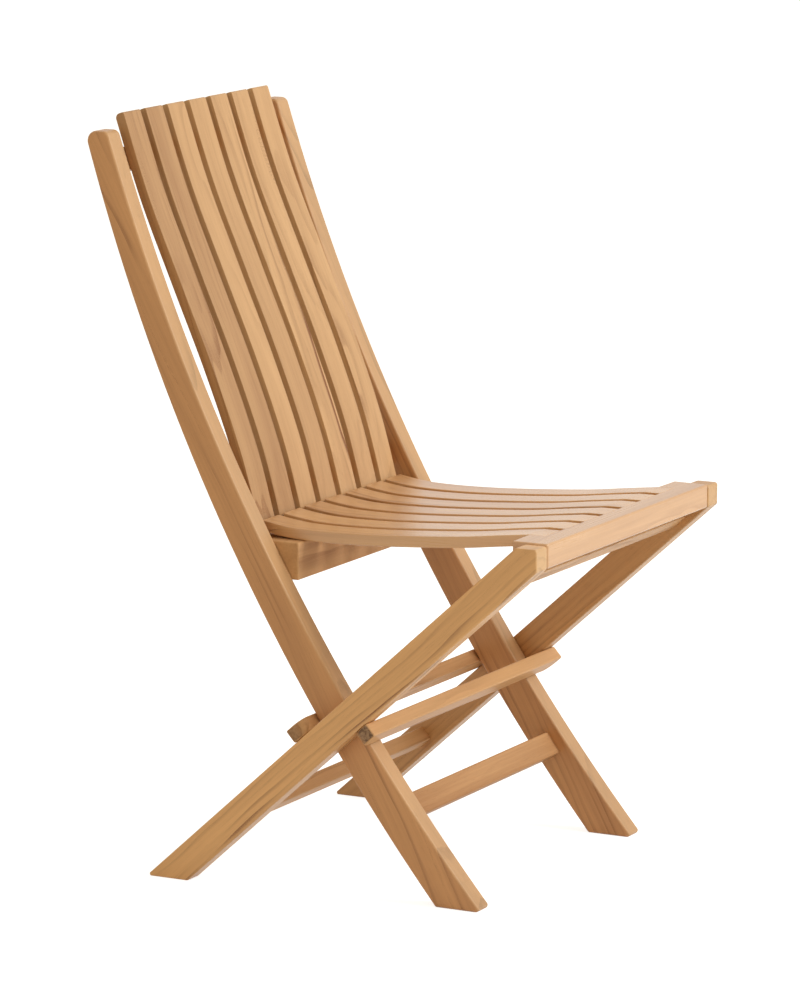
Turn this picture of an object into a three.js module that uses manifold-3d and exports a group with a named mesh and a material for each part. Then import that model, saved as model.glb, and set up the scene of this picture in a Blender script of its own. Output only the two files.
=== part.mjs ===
// Folding teak side chair. Two bowed posts carry the slatted back and cross two straight legs,
// and the slatted seat hangs on the tops of the legs, with its rear end on a rail of the posts.
// Lengths are in millimetres. X points forward, Y to the sitter's left and Z up.
// The side view is drawn from the seat's front edge (X back from it is negative) and the floor.

import * as THREE from 'three';
import { mergeVertices } from 'three/addons/utils/BufferGeometryUtils.js';
import Module from 'manifold-3d';

const wasm = await Module();
wasm.setup();

// Fits shared by every joint
const rest = 0.3;
const overrun = 2;
const pinClearance = 0.15;
const tenonLength = 15;
const dowelRadius = 4;
const roundSteps = 1;
const pinSides = 16;
const screwSides = 8;

// Width of the two frames, one inside the other
const frameWidth = 490;
const legThickness = 27.5;
const postThickness = 28;
const sideGap = 1.5;
const legOuter = frameWidth / 2;
const legInner = legOuter - legThickness;
const postOuter = legInner - sideGap;
const postInner = postOuter - postThickness;

// Pivot where a leg crosses a post, just behind the post's middle
const crossingHeight = 198;
const crossingSetBack = 2.4;
const crossingPinRadius = 4;
const crossingPinSeat = 20;
const washerRadius = 9;

// Bowed back posts: each edge is an arc from the floor to the top
const postFootRear = -144;
const postFootDepth = 60.7;
const postTopRear = -609;
const postTopDepth = 32;
const postHeight = 880;
const postBow = 51.5;
const postTopRound = 10;
const postFootRound = 3;
const postEase = 2;
const postSteps = 18;

// Straight legs, cut level at the foot and the top, and upright at the seat's front edge
const legWidth = 37.4;
const legTopDepth = 26.7;
const legTopStep = 1.8;
const legTopRound = 4;
const legFootRound = 3;
const legEase = 1.4;

// Short rails that lie across the legs' edges beside the crossing, and stop the fold
const rearCrossRailWidth = 27;
const frontCrossRailWidth = 26;
const crossRailThickness = 17.5;
const crossRailEndRound = 20;
const crossRailRound = 3;
const crossRailDowelSeat = 11;

// Rails between the posts
const topRailDrop = 31;
const topRailWidth = 28;
const topRailThickness = 22;
const bottomRailRise = 10.2;
const bottomRailWidth = 30;
const bottomRailThickness = 18;
const supportRailDepth = 46;
const supportRailHeight = 44.7;
const supportRailLap = 26.4;
const supportTenonWidth = 20;
const supportTenonDepth = 16;
const supportTenonInset = 5;
const postStretcherHeight = 104.5;
const postStretcherWidth = 30;
const postStretcherThickness = 15;
const railRound = 2.5;
const railEase = 1.5;
const tenonWidthShare = 0.62;
const tenonThicknessShare = 0.5;

// Rails between the legs, placed along a leg from the crossing
const legStretcherRise = 130.4;
const legStretcherWidth = 20;
const legStretcherThickness = 19;
const legTopRailUnderSeat = 15.3;
const legTopRailWidth = 23;
const legTopRailThickness = 18;
const legTopRailDrop = 1;

// Slats of the back and the seat
const slatCount = 7;
const slatGap = 12;
const slatPostGap = 15.5;
const slatEase = 1.6;
const slatRound = 2.4;
const backSlatThickness = 13;
const backSlatFootDrop = 41.8;
const backSlatFootInset = 27.6;
const backSlatTopRise = 19;
const backSlatTopInset = 3.5;
const backSlatTopRound = 5;
const backSlatSteps = 12;
const backRiseShares = [0, 0.2, 0.401, 0.601, 0.802, 1];
const backSweepShares = [0, 0.148, 0.352, 0.585, 0.816, 1];
const seatHeight = 441.8;
const seatRearGap = 5.2;
const seatDip = 20;
const seatSlatThickness = 13.5;
const seatSlatUndercut = 4;
const seatSlatSteps = 10;
const seatRunShares = [0, 0.147, 0.392, 0.71, 0.893, 1];
const seatDipShares = [0.7, 1, 0.96, 0.585, 0.215, 0];

// Front rail of the seat and the pins that it turns on
const seatRailDepth = 45;
const seatRailHeight = 28.8;
const seatRebateDepth = 20;
const seatSideGap = 1;
const seatRailRearRound = 3;
const seatRailFrontRound = 5;
const seatHingeInset = 14;
const seatHingeDrop = 21.8;
const seatPinRadius = 3;
const seatPinSeat = 18;
const tieRodRadius = 3;
const tieRodInset = 21.5;
const tieRodEndInset = 7;

// Wood screws through the rails into the slats
const screwHeadRadius = 3.6;
const screwHeadHeight = 2.6;
const screwRadius = 1.9;
const screwTip = 3;
const screwBite = 7.5;
const screwSink = 0.5;

// Wood tones, each with its own grain in the finished chair
const tones = {
  post: 0xb07d50,
  leg: 0xb98755,
  slat: 0xd6aa80,
  seat: 0xdcb48c,
  rail: 0xc9996a,
  steel: 0xa8a8a4,
};

function material(tone) {
  const metal = tone === 'steel';
  return new THREE.MeshStandardMaterial({
    color: tones[tone],
    roughness: metal ? 0.35 : 0.6,
    metalness: metal ? 1 : 0,
  });
}

// A closed geometry as a solid that can be cut and joined
function solid(geometry) {
  geometry.deleteAttribute('normal');
  geometry.deleteAttribute('uv');
  const merged = mergeVertices(geometry);
  return new wasm.Manifold(new wasm.Mesh({
    numProp: 3,
    vertProperties: merged.attributes.position.array,
    triVerts: new Uint32Array(merged.index.array),
  }));
}

function named(name, body, tone) {
  const cut = body.getMesh();
  const geometry = new THREE.BufferGeometry();
  geometry.setAttribute('position', new THREE.BufferAttribute(cut.vertProperties, cut.numProp));
  geometry.setIndex(new THREE.BufferAttribute(cut.triVerts, 1));
  geometry.computeVertexNormals();
  const mesh = new THREE.Mesh(geometry, material(tone));
  mesh.name = name;
  return mesh;
}

// A shape through corners of [across, up, round], where round is the corner's radius
function outline(corners) {
  const shape = new THREE.Shape();
  corners.forEach(([x, y, round = 0], i) => {
    const at = new THREE.Vector2(x, y);
    const back = new THREE.Vector2(...corners.at(i - 1)).sub(at).normalize();
    const on = new THREE.Vector2(...corners[(i + 1) % corners.length]).sub(at).normalize();
    const half = Math.acos(THREE.MathUtils.clamp(back.dot(on), -1, 1)) / 2;
    const enter = at.clone().addScaledVector(back, round / Math.tan(half));
    const leave = at.clone().addScaledVector(on, round / Math.tan(half));
    if (i === 0) shape.moveTo(enter.x, enter.y);
    else shape.lineTo(enter.x, enter.y);
    if (round > 0) {
      const middle = back.add(on).normalize();
      const centre = at.clone().addScaledVector(middle, round / Math.sin(half));
      shape.absarc(centre.x, centre.y, round, enter.sub(centre).angle(), leave.sub(centre).angle(),
        back.cross(on) > 0);
    }
  });
  return shape;
}

function eased(corners, thickness, ease) {
  return new THREE.ExtrudeGeometry(outline(corners), {
    depth: thickness - 2 * ease,
    bevelEnabled: ease > 0,
    bevelThickness: ease,
    bevelSize: ease,
    bevelOffset: -ease,
    bevelSegments: 1,
    curveSegments: roundSteps,
  });
}

// An outline in the side view, as thick as the space from the right side to the left one
function board(corners, right, left, ease) {
  const geometry = eased(corners, left - right, ease);
  geometry.rotateX(Math.PI / 2);
  return solid(geometry.translate(0, left - ease, 0));
}

// An outline in the plan view, from a floor height to a top height
function plank(corners, floor, top, ease) {
  return solid(eased(corners, top - floor, ease).translate(0, 0, floor + ease));
}

function rectangle(at, turn, width, thickness, round = 0) {
  const along = new THREE.Vector2(Math.cos(turn), Math.sin(turn));
  const aside = new THREE.Vector2(-along.y, along.x);
  return [[-1, -1], [1, -1], [1, 1], [-1, 1]].map(([a, b]) => {
    const corner = at.clone().addScaledVector(along, a * width / 2);
    corner.addScaledVector(aside, b * thickness / 2);
    return [corner.x, corner.y, round];
  });
}

function pin(radius, at, right, left) {
  const geometry = new THREE.CylinderGeometry(radius, radius, left - right, pinSides);
  return solid(geometry.translate(at.x, (left + right) / 2, at.y));
}

// A countersunk screw whose head lies at a point of the side view, pointing along a direction
function screw(head, direction, side, length, clearance) {
  const profile = [
    [0, -overrun * Math.sign(clearance)],
    [screwHeadRadius + clearance, -overrun * Math.sign(clearance)],
    [screwHeadRadius + clearance, 0],
    [screwRadius + clearance, screwHeadHeight],
    [screwRadius + clearance, length - screwTip],
    [0, length + clearance],
  ].filter(([r], i) => clearance > 0 || i !== 1 || r === 0);
  const geometry = new THREE.LatheGeometry(profile.map((p) => new THREE.Vector2(...p)), screwSides);
  const turn = new THREE.Quaternion().setFromUnitVectors(
    new THREE.Vector3(0, 1, 0), new THREE.Vector3(direction.x, 0, direction.y));
  return solid(geometry.applyQuaternion(turn).translate(head.x, side, head.y));
}

function cut(body, cutters) {
  return cutters.reduce((left, cutter) => left.subtract(cutter), body);
}

// Sides of the chair: the right one lies at negative Y
const sides = [{ side: 'right', sign: -1 }, { side: 'left', sign: 1 }];

function span(sign, inner, outer) {
  return sign > 0 ? [inner, outer] : [-outer, -inner];
}

// An arc that bows to the rear between two ends of a post's edge
function bowed(foot, top) {
  const chord = top.clone().sub(foot);
  const aside = new THREE.Vector2(-chord.y, chord.x).normalize();
  const half = chord.length() / 2;
  const radius = (half * half + postBow * postBow) / (2 * postBow);
  const reach = Math.asin(half / radius);
  const middle = foot.clone().add(top).multiplyScalar(0.5);
  const centre = middle.addScaledVector(aside, postBow - radius);
  const ahead = aside.clone().rotateAround(new THREE.Vector2(), Math.PI / 2);
  return (share) => {
    const angle = (2 * share - 1) * reach;
    return centre.clone().addScaledVector(aside, radius * Math.cos(angle))
      .addScaledVector(ahead, -radius * Math.sin(angle));
  };
}

const postRearEdge = bowed(
  new THREE.Vector2(postFootRear, 0), new THREE.Vector2(postTopRear, postHeight));
const postFrontEdge = bowed(
  new THREE.Vector2(postFootRear + postFootDepth, 0),
  new THREE.Vector2(postTopRear + postTopDepth, postHeight));

function postShape() {
  const shares = Array.from({ length: postSteps + 1 }, (_, i) => i / postSteps);
  const rounds = { 0: postFootRound, [postSteps]: postTopRound };
  const rear = shares.map((share, i) => [...postRearEdge(share).toArray(), rounds[i] ?? 0]);
  const front = shares.map((share, i) => [...postFrontEdge(share).toArray(), rounds[i] ?? 0]);
  return [...front, ...rear.reverse()];
}

// Share of a rising line's run at which one of its coordinates reaches a value
function shareWhere(pointAt, axis, value) {
  let share = 0.5;
  for (let step = 0.25; step > Number.EPSILON; step /= 2) {
    share += pointAt(share)[axis] < value ? step : -step;
  }
  return share;
}

function placeAtHeight(edge, height) {
  return edge(shareWhere(edge, 'y', height)).x;
}

// Middle of a post at a height, with its direction there
function postMiddle(height) {
  const rear = placeAtHeight(postRearEdge, height);
  const front = placeAtHeight(postFrontEdge, height);
  const share = shareWhere(postRearEdge, 'y', height);
  const turn = postRearEdge(share + 1 / postSteps).sub(postRearEdge(share)).angle();
  return { at: new THREE.Vector2((rear + front) / 2, height), turn };
}

const crossing = new THREE.Vector2(
  postMiddle(crossingHeight).at.x - crossingSetBack, crossingHeight);

// A leg leans so that its upper edge meets the rear end of its level top
const legTopHeight = seatHeight - legTopStep;
const legReach = new THREE.Vector2(-legTopDepth, legTopHeight).sub(crossing);
const legLean = legReach.angle() - Math.asin(legWidth / 2 / legReach.length());

// Place of a point of the side view, seen along and across a leg from the crossing
function alongLeg(point) {
  return point.clone().sub(crossing).rotateAround(new THREE.Vector2(), -legLean);
}

// How far along a leg a line beside its middle reaches a height, or a place forward
function legAtHeight(height, beside) {
  return (height - crossing.y - beside * Math.cos(legLean)) / Math.sin(legLean);
}

function legAtPlace(place, beside) {
  return (place - crossing.x + beside * Math.sin(legLean)) / Math.cos(legLean);
}

function legShape() {
  const half = legWidth / 2;
  const frontTop = alongLeg(new THREE.Vector2(0, legTopHeight));
  return [
    [legAtHeight(0, half), half, legFootRound],
    [legAtHeight(0, -half), -half, legFootRound],
    [legAtPlace(0, -half), -half, legTopRound],
    [frontTop.x, frontTop.y, legTopRound],
    [legAtHeight(legTopHeight, half), half, legTopRound],
  ];
}

// Underside of the seat's front rail and the pivot that it turns on
const seatRailFloor = seatHeight - seatRailHeight;
const seatHinge = new THREE.Vector2(-seatHingeInset, seatHeight - seatHingeDrop);

// Front faces of the back slats and top faces of the seat slats, as smooth curves
const backSlatFootHeight = seatHeight - backSlatFootDrop;
const backSlatFoot = new THREE.Vector2(
  placeAtHeight(postFrontEdge, backSlatFootHeight) - backSlatFootInset, backSlatFootHeight);
const backSlatTop = postFrontEdge(1).add(new THREE.Vector2(-backSlatTopInset, backSlatTopRise));
const backCurve = new THREE.SplineCurve(backRiseShares.map((rise, i) => new THREE.Vector2(
  THREE.MathUtils.lerp(backSlatFoot.x, backSlatTop.x, backSweepShares[i]),
  THREE.MathUtils.lerp(backSlatFoot.y, backSlatTop.y, rise))));
const seatFront = seatRebateDepth - seatRailDepth - rest;
const seatRearHeight = seatHeight - seatDip * seatDipShares[0];
const seatRear = placeAtHeight((share) => backCurve.getPoint(share), seatRearHeight) + seatRearGap;
const seatCurve = new THREE.SplineCurve(seatRunShares.map((run, i) => new THREE.Vector2(
  THREE.MathUtils.lerp(seatRear, -seatRailDepth - rest, run),
  seatHeight - seatDip * seatDipShares[i])));

// Point under a curve's face, square to it
function behind(curve, share, depth) {
  const tangent = curve.getTangent(share);
  return curve.getPoint(share).add(new THREE.Vector2(-tangent.y, tangent.x).multiplyScalar(depth));
}

function bentSlat(curve, thickness, steps, startRound, endRound) {
  const shares = Array.from({ length: steps + 1 }, (_, i) => i / steps);
  const face = shares.map((share) => curve.getPoint(share).toArray());
  const back = shares.map((share) => behind(curve, share, thickness).toArray()).reverse();
  face[0].push(slatRound);
  face[steps].push(slatRound);
  back[0].push(endRound);
  back[steps].push(startRound);
  return [...face, ...back];
}

function slatSpan(index) {
  const middle = (index - (slatCount - 1) / 2) * (slatWidth + slatGap);
  return { middle, right: middle - slatWidth / 2, left: middle + slatWidth / 2 };
}

const slatWidth = (2 * (postInner - slatPostGap) + slatGap) / slatCount - slatGap;
const slats = Array.from({ length: slatCount }, (_, i) => ({ number: i + 1, ...slatSpan(i) }));

// Rails with tenons
function railBehindSlats(height, width, thickness) {
  const share = shareWhere((at) => backCurve.getPoint(at), 'y', height);
  const turn = backCurve.getTangent(share).angle();
  return rail(behind(backCurve, share, backSlatThickness + rest + thickness / 2),
    turn, width, thickness);
}

function rail(at, turn, width, thickness) {
  return {
    at,
    turn,
    width,
    thickness,
    tenonAt: at,
    tenonWidth: width * tenonWidthShare,
    tenonThickness: thickness * tenonThicknessShare,
  };
}

function tenonOf(one, inner, length, grown) {
  const corners = rectangle(
    one.tenonAt, one.turn, one.tenonWidth + 2 * grown, one.tenonThickness + 2 * grown);
  return board(corners, -inner - length - grown, inner + length + grown, 0);
}

function railSolid(one, inner) {
  const corners = rectangle(one.at, one.turn, one.width, one.thickness, railRound);
  return board(corners, rest - inner, inner - rest, railEase).add(tenonOf(one, inner, tenonLength, 0));
}

function mortises(rails, inner) {
  return rails.map((one) => tenonOf(one, inner, tenonLength, rest));
}

// Point under the seat's top face, at a place along the chair
function underSeat(place, depth) {
  return behind(seatCurve, shareWhere((at) => seatCurve.getPoint(at), 'x', place), -depth);
}

const topRail = railBehindSlats(postHeight - topRailDrop, topRailWidth, topRailThickness);
const bottomRail = railBehindSlats(
  seatHeight + bottomRailRise, bottomRailWidth, bottomRailThickness);
const stretcherPlace = postMiddle(postStretcherHeight);
const postStretcher = rail(
  stretcherPlace.at, stretcherPlace.turn, postStretcherWidth, postStretcherThickness);
const supportRailLevel = seatHeight - seatDip - seatSlatThickness - supportRailHeight / 2;
const supportRailRear = placeAtHeight(postFrontEdge, supportRailLevel) - supportRailLap;
const supportRailFront = supportRailRear + supportRailDepth;
const supportRailTop = underSeat(supportRailFront, seatSlatThickness).y - rest;
const supportRailFloor = supportRailTop - supportRailHeight;
const supportRail = {
  ...rail(
    new THREE.Vector2((supportRailRear + supportRailFront) / 2, (supportRailFloor + supportRailTop) / 2),
    Math.PI / 2, supportRailHeight, supportRailDepth),
  tenonAt: new THREE.Vector2(
    supportRailRear + (supportTenonInset + supportTenonDepth) / 2,
    supportRailFloor + supportTenonInset + supportTenonWidth / 2),
  tenonWidth: supportTenonWidth,
  tenonThickness: supportTenonDepth,
};
const postRails = { topRail, bottomRail, postStretcher, supportRail };
const legStretcher = rail(
  new THREE.Vector2(legAtHeight(0, 0) + legStretcherRise, 0),
  0, legStretcherWidth, legStretcherThickness);
const legTopRail = rail(
  new THREE.Vector2(legAtHeight(seatRailFloor - legTopRailUnderSeat, -legTopRailDrop), -legTopRailDrop),
  0, legTopRailWidth, legTopRailThickness);
const legRails = { legStretcher, legTopRail };

// Screws from behind the back rails, and from under the seat's front rail
function backScrews(clearance) {
  return [topRail, bottomRail].map((one) => {
    const forward = new THREE.Vector2(Math.sin(one.turn), -Math.cos(one.turn));
    const length = one.thickness + rest + screwBite - screwSink;
    const head = one.at.clone().addScaledVector(forward, screwSink - one.thickness / 2);
    return slats.map(({ middle }) => screw(head, forward, middle, length, clearance));
  });
}

function seatScrews(clearance) {
  const up = new THREE.Vector2(0, 1);
  const head = new THREE.Vector2(seatRebateDepth / 2 - seatRailDepth, seatRailFloor + screwSink);
  const length = seatHeight - seatSlatThickness + screwBite - head.y;
  return slats.map(({ middle }) => screw(head, up, middle, length, clearance));
}

function tieRod(clearance) {
  const at = underSeat(seatRear + tieRodInset, seatSlatThickness / 2);
  const reach = slats.at(-1).left - tieRodEndInset + clearance;
  return pin(tieRodRadius + clearance, at, -reach, reach);
}

// Posts, with blind mortises and the holes of the crossing pins
const backFrame = new THREE.Group();
sides.forEach(({ side, sign }) => {
  const blank = board(postShape(), ...span(sign, postInner, postOuter), postEase);
  const hole = pin(crossingPinRadius + pinClearance, crossing,
    ...span(sign, postOuter - crossingPinSeat - rest, postOuter + overrun));
  const post = cut(blank, [...mortises(Object.values(postRails), postInner), hole]);
  backFrame.add(named(`${side}_post`, post, 'post'));
});

const [topHoles, bottomHoles] = backScrews(rest);
const [topScrews, bottomScrews] = backScrews(0);
backFrame.add(
  named('top_back_rail', cut(railSolid(topRail, postInner), topHoles), 'rail'),
  named('bottom_back_rail', cut(railSolid(bottomRail, postInner), bottomHoles), 'rail'),
  named('seat_support_rail', railSolid(supportRail, postInner), 'rail'),
  named('post_stretcher', railSolid(postStretcher, postInner), 'rail'));

slats.forEach(({ number, right, left }, i) => {
  const corners = bentSlat(
    backCurve, backSlatThickness, backSlatSteps, slatRound, backSlatTopRound);
  const slat = cut(board(corners, right, left, slatEase), [topHoles[i], bottomHoles[i]]);
  backFrame.add(
    named(`back_slat_${number}`, slat, 'slat'),
    named(`top_screw_${number}`, topScrews[i], 'steel'),
    named(`bottom_screw_${number}`, bottomScrews[i], 'steel'));
});

// Legs, drawn along and across themselves from the crossing
const legFrame = new THREE.Group();
legFrame.position.set(crossing.x, 0, crossing.y);
legFrame.rotation.y = -legLean;

// Where a post's edge lies along the leg, at a distance across it
function edgeAlong(edge, beside) {
  const steps = postHeight;
  const points = Array.from({ length: steps + 1 }, (_, i) => alongLeg(edge(i / steps)));
  const nearest = points.reduce((best, point) =>
    (Math.abs(point.y - beside) < Math.abs(best.y - beside) ? point : best));
  return nearest.x;
}

function crossRail(edge, direction, width) {
  const face = legWidth / 2 + rest;
  const near = edgeAlong(edge, -direction * face);
  const far = edgeAlong(edge, -direction * (face + crossRailThickness));
  const stop = direction > 0 ? Math.max(near, far) : Math.min(near, far);
  const start = stop + direction * rest;
  const end = start + direction * width;
  const corners = [
    [start, -legOuter, crossRailEndRound],
    [end, -legOuter, crossRailRound],
    [end, legOuter, crossRailRound],
    [start, legOuter, crossRailEndRound],
  ];
  const floor = direction > 0 ? -face - crossRailThickness : face;
  return {
    blank: plank(corners, floor, floor + crossRailThickness, railEase),
    dowels: (clearance) => sides.map(({ sign }) => {
      const reach = crossRailDowelSeat + clearance;
      const dowel = new THREE.CylinderGeometry(
        dowelRadius + clearance, dowelRadius + clearance, 2 * reach + rest, pinSides / 2);
      dowel.rotateX(Math.PI / 2);
      dowel.translate((start + end) / 2, sign * (legInner + legOuter) / 2, -direction * (face - rest / 2));
      return solid(dowel);
    }),
  };
}

const rearCrossRail = crossRail(postRearEdge, -1, rearCrossRailWidth);
const frontCrossRail = crossRail(postFrontEdge, 1, frontCrossRailWidth);
const hingeAlong = alongLeg(seatHinge);

sides.forEach(({ side, sign }) => {
  const blank = board(legShape(), ...span(sign, legInner, legOuter), legEase);
  const crossingHole = pin(crossingPinRadius + rest, new THREE.Vector2(),
    ...span(sign, legInner - overrun, legInner + crossingPinSeat + rest));
  const seatHole = pin(seatPinRadius + rest, hingeAlong,
    ...span(sign, legInner - overrun, legInner + seatPinSeat + rest));
  const leg = cut(blank, [
    ...mortises(Object.values(legRails), legInner),
    ...rearCrossRail.dowels(rest),
    ...frontCrossRail.dowels(rest),
    crossingHole,
    seatHole,
  ]);
  const crossingPin = pin(crossingPinRadius, new THREE.Vector2(),
    ...span(sign, postOuter - crossingPinSeat, legInner + crossingPinSeat));
  const washer = pin(washerRadius, new THREE.Vector2(), ...span(sign, postOuter + rest, legInner - rest))
    .subtract(pin(crossingPinRadius + rest, new THREE.Vector2(),
      ...span(sign, postOuter - overrun, legInner + overrun)));
  const seatPin = pin(seatPinRadius, hingeAlong,
    ...span(sign, legInner - seatSideGap - seatPinSeat, legInner + seatPinSeat));
  legFrame.add(
    named(`${side}_leg`, leg, 'leg'),
    named(`crossing_pin_${side}`, crossingPin, 'steel'),
    named(`crossing_washer_${side}`, washer, 'steel'),
    named(`seat_pin_${side}`, seatPin, 'steel'));
});

legFrame.add(
  named('leg_stretcher', railSolid(legStretcher, legInner), 'rail'),
  named('leg_top_rail', railSolid(legTopRail, legInner), 'rail'),
  named('crossing_rail_rear', cut(rearCrossRail.blank, rearCrossRail.dowels(rest)), 'rail'),
  named('crossing_rail_front', cut(frontCrossRail.blank, frontCrossRail.dowels(rest)), 'rail'));
sides.forEach(({ side }, i) => legFrame.add(
  named(`rear_dowel_${side}`, rearCrossRail.dowels(0)[i], 'rail'),
  named(`front_dowel_${side}`, frontCrossRail.dowels(0)[i], 'rail')));

// Seat: slats let into the front rail and tied together near their rear ends
const seat = new THREE.Group();

function frontRail() {
  const reach = legInner - seatSideGap;
  const corners = [
    [-seatRailDepth, seatRailFloor, seatRailRearRound],
    [0, seatRailFloor, seatRailFrontRound],
    [0, seatHeight, seatRailFrontRound],
    [-seatRailDepth, seatHeight, seatRailRearRound],
  ];
  const rebate = [
    [-seatRailDepth - overrun, seatHeight - seatSlatThickness - rest],
    [seatRebateDepth - seatRailDepth, seatHeight - seatSlatThickness - rest],
    [seatRebateDepth - seatRailDepth, seatHeight + overrun],
    [-seatRailDepth - overrun, seatHeight + overrun],
  ];
  const edge = slats.at(-1).left + rest;
  const hinges = sides.map(({ sign }) => pin(seatPinRadius + pinClearance, seatHinge,
    ...span(sign, reach - seatPinSeat - rest, reach + overrun)));
  return cut(board(corners, -reach, reach, railEase),
    [board(rebate, -edge, edge, 0), ...hinges, ...seatScrews(rest)]);
}

function seatSlatShape() {
  const corners = bentSlat(seatCurve, -seatSlatThickness, seatSlatSteps, slatRound, 0);
  corners.at(-1)[0] += seatSlatUndercut;
  corners.splice(seatSlatSteps, 1,
    [-seatRailDepth - rest, seatHeight],
    [seatFront, seatHeight, slatRound],
    [seatFront, seatHeight - seatSlatThickness, slatRound]);
  return corners;
}

seat.add(
  named('seat_front_rail', frontRail(), 'seat'),
  named('seat_tie_rod', tieRod(0), 'steel'));
slats.forEach(({ number, right, left }, i) => {
  const slat = cut(board(seatSlatShape(), right, left, slatEase), [tieRod(rest), seatScrews(rest)[i]]);
  seat.add(
    named(`seat_slat_${number}`, slat, 'seat'),
    named(`seat_screw_${number}`, seatScrews(0)[i], 'steel'));
});

const group = new THREE.Group();
group.add(backFrame, legFrame, seat);

// The origin is the middle of the footprint, on the floor
const reach = new THREE.Box3().setFromObject(group);
group.position.x = -(reach.min.x + reach.max.x) / 2;

export default group;
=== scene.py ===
# %% [markdown]
# # A folding teak side chair, dressed for its picture
#
# The chair is made of eased teak boards. Two bowed posts carry the slatted back and cross two
# straight legs, and the slatted seat hangs on the tops of the legs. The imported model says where
# every piece is and how it moves. Here each board is made again with soft edges and real grain.

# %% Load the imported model
import bpy
import numpy as np
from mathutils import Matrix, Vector


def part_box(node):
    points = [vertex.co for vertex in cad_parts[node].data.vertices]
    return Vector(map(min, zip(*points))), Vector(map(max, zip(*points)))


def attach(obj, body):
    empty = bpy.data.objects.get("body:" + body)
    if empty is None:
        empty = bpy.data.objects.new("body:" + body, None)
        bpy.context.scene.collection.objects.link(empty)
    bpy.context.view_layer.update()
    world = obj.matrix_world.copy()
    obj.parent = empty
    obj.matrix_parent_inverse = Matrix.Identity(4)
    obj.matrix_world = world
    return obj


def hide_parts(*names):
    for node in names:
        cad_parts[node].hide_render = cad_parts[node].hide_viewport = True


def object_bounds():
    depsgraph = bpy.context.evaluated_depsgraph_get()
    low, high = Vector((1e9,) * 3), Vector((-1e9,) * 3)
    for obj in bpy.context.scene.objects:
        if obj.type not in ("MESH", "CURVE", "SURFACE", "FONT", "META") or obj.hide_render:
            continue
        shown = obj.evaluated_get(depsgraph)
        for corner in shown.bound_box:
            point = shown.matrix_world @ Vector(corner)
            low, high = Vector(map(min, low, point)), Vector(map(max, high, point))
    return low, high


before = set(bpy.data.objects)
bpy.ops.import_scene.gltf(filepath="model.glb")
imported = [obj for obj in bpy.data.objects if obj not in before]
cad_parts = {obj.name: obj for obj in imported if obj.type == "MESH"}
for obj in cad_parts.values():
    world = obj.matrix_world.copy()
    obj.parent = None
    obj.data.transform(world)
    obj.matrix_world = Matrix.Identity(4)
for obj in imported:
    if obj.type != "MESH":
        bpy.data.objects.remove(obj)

for leftover in ("Cube", "Light", "Camera"):
    if leftover in bpy.data.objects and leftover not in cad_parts:
        bpy.data.objects.remove(bpy.data.objects[leftover])
packed_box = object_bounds()
print("packed box, metres:", [[round(v, 4) for v in corner] for corner in packed_box])

# %% [markdown]
# ## The side view
#
# A chair maker draws the side view first. Here it is measured in millimetres: the first number
# is the place ahead of the seat's front edge (so nearly all are negative), the second the
# height above the floor. Only the last step turns these into metres in the chair's own frame.
# Places across the chair are measured from its middle, and the posts stand inside the legs.

# %% Side view to chair frame
MM = 0.001
FRONT_EDGE = packed_box[1][0]
ACROSS = (0, 1, 0)
SIDE_VIEW = {"origin": (FRONT_EDGE, 0.0, 0.0), "a": (1, 0, 0), "b": (0, 0, 1), "c": ACROSS}
PLAN = {"origin": (FRONT_EDGE, 0.0, 0.0), "a": (1, 0, 0), "b": ACROSS, "c": (0, 0, 1)}
POST_INNER, POST_OUTER, LEG_INNER, LEG_OUTER = 188.0, 216.0, 217.5, 245.0


def middle_of(node):
    """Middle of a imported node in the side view, in millimetres."""
    low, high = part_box(node)
    return np.array([(low[0] + high[0]) / 2 - FRONT_EDGE, (low[2] + high[2]) / 2]) / MM


def leaning_view(at, degrees):
    """A frame that leans in the side view: its first axis points ahead and up at an angle, its
    second is square to that, and its third runs across, from the right side to the left."""
    turn = np.radians(degrees)
    return {"origin": (FRONT_EDGE + at[0] * MM, 0.0, at[1] * MM),
            "a": (np.cos(turn), 0, np.sin(turn)), "b": (-np.sin(turn), 0, np.cos(turn)),
            "c": ACROSS}


def cross_view(at, degrees):
    """The same frame with its axes in another order, for a piece that lies across the chair."""
    view = leaning_view(at, degrees)
    return {"origin": view["origin"], "a": view["c"], "b": view["a"], "c": view["b"]}


print("seat's front edge at", round(FRONT_EDGE, 4), "m")


# %% Meshes and objects
def smooth_mesh(name, places, faces):
    mesh = bpy.data.meshes.new(name)
    mesh.from_pydata(places, [], faces)
    mesh.polygons.foreach_set("use_smooth", np.ones(len(mesh.polygons), bool))
    return mesh


def into_scene(name, data):
    piece = bpy.data.objects.new(name, data)
    bpy.context.collection.objects.link(piece)
    return piece


# %% [markdown]
# ## Outlines with round corners
#
# A board is sawn along an outline, and its corners are rounded with a rasp. Each corner becomes
# an arc that touches the lines on both sides. The arcs of all corners are worked out at once,
# together with the direction that the edge faces at each point, which shading needs later.

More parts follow.
